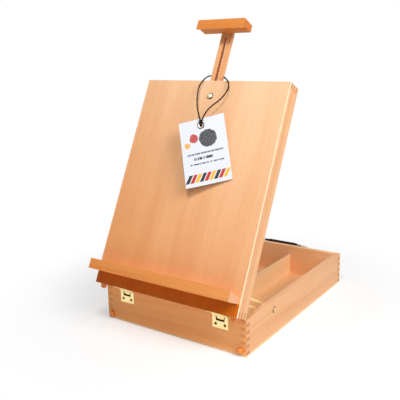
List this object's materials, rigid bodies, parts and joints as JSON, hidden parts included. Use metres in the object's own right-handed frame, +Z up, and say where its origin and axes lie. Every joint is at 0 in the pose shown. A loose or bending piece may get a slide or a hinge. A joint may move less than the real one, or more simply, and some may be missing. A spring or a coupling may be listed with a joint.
{
  "type": "pochade box",
  "caption": "Tabletop pochade box easel: finger-jointed beech case, hinged easel lid with canvas ledge, sliding mast with clamp block, slotted stays, divider and carrying handle.",
  "frame": {"origin": "centre of the case's underside, on the surface that it stands on", "axes": "+X across the case to the right as the easel face is seen, +Y from the hinge side to the handle side, +Z up"},
  "size_m": [0.3064, 0.4762, 0.5418],
  "materials": {
    "beech_case": "satin clear lacquer on beech",
    "beech_panel": "satin clear lacquer on beech-faced plywood",
    "beech_rest": "satin lacquer, warmer toned beech",
    "plywood": "clear lacquered plywood",
    "brass": "polished brass plate",
    "zinc_steel": "bright zinc plate",
    "brown_plastic": "orange-brown moulded plastic",
    "handle_plastic": "very dark brown grained plastic",
    "card": "matt white card with a printed front",
    "cord": "dark twisted cord"
  },
  "bodies": {
    "box": {"box_floor": "plywood", "box_near_wall": "beech_case", "box_back_wall": "beech_case", "box_right_wall": "beech_case", "box_left_wall": "beech_case", "box_divider": "plywood", "box_feet": "brown_plastic", "box_bolt_right": "zinc_steel", "box_bolt_left": "zinc_steel", "stay_washers": "zinc_steel", "hinge_box_leaf_right": "brass", "hinge_box_leaf_left": "brass", "hinge_pins": "brass", "hinge_box_screws": "brass", "handle_bracket_right": "zinc_steel", "handle_bracket_left": "zinc_steel", "handle_pins": "zinc_steel", "handle_screws": "zinc_steel", "latch_studs": "brass"},
    "lid": {"lid_panel": "beech_panel", "lid_near_wall": "beech_case", "lid_top_wall": "beech_case", "lid_right_wall": "beech_case", "lid_left_wall": "beech_case", "lid_feet": "brown_plastic", "canvas_ledge": "beech_rest", "ledge_screws": "zinc_steel", "hinge_lid_leaf_right": "brass", "hinge_lid_leaf_left": "brass", "hinge_lid_screws": "brass", "stay_pivot_screws": "brass", "latch_rivets": "brass", "mast_bolt": "zinc_steel", "mast_washer": "zinc_steel", "tag_card": "card", "tag_eyelet": "zinc_steel", "tag_knot": "cord", "tag_cord": "cord"},
    "mast": {"mast": "beech_rest", "head_block": "beech_rest", "head_screws": "zinc_steel"},
    "mast_nut": {"mast_wing_nut": "zinc_steel"},
    "stay_right": {"stay_right": "brass"},
    "stay_left": {"stay_left": "brass"},
    "nut_right": {"wing_nut_right": "zinc_steel"},
    "nut_left": {"wing_nut_left": "zinc_steel"},
    "hook_right": {"latch_hook_right": "brass"},
    "hook_left": {"latch_hook_left": "brass"},
    "handle": {"handle_grip": "handle_plastic"}
  },
  "joints": [
    {"name": "lid_hinge", "type": "hinge", "parent": "box", "child": "lid", "pos_m": [0, -0.2, 0.0645], "axis": [1, 0, 0], "range_deg": [-63.4, 6.6]},
    {"name": "stay_right_pivot", "type": "hinge", "parent": "lid", "child": "stay_right", "pos_m": [0.13785, -0.19953, 0.10117], "axis": [1, 0, 0], "range_deg": [-6.7, 63.5]},
    {"name": "stay_left_pivot", "type": "hinge", "parent": "lid", "child": "stay_left", "pos_m": [-0.13785, -0.19953, 0.10117], "axis": [1, 0, 0], "range_deg": [-6.7, 63.5]},
    {"name": "mast_slide", "type": "slide", "parent": "lid", "child": "mast", "axis": [0, 0.4478, 0.8942], "range_m": [-0.08, 0.11]},
    {"name": "mast_nut_turn", "type": "hinge", "parent": "lid", "child": "mast_nut", "pos_m": [-0.0016, -0.04582, 0.39919], "axis": [0, 0.8942, -0.4478], "continuous": true},
    {"name": "nut_right_turn", "type": "hinge", "parent": "box", "child": "nut_right", "pos_m": [0.132, -0.1014, 0.048], "axis": [-1, 0, 0], "continuous": true},
    {"name": "nut_left_turn", "type": "hinge", "parent": "box", "child": "nut_left", "pos_m": [-0.132, -0.1014, 0.048], "axis": [1, 0, 0], "continuous": true},
    {"name": "hook_right_swing", "type": "hinge", "parent": "lid", "child": "hook_right", "pos_m": [0.11, -0.03252, 0.42575], "axis": [0, 0.4478, 0.8942], "range_deg": [0, 90]},
    {"name": "hook_left_swing", "type": "hinge", "parent": "lid", "child": "hook_left", "pos_m": [-0.11, -0.03252, 0.42575], "axis": [0, -0.4478, -0.8942], "range_deg": [0, 90]},
    {"name": "handle_swing", "type": "hinge", "parent": "box", "child": "handle", "pos_m": [0, 0.2065, 0.058], "axis": [1, 0, 0], "range_deg": [-82.5, 67.5]}
  ],
  "couplings": [
    {"joint": "stay_right_pivot", "follows": "lid_hinge", "ratio": -1},
    {"joint": "stay_left_pivot", "follows": "lid_hinge", "ratio": -1}
  ]
}
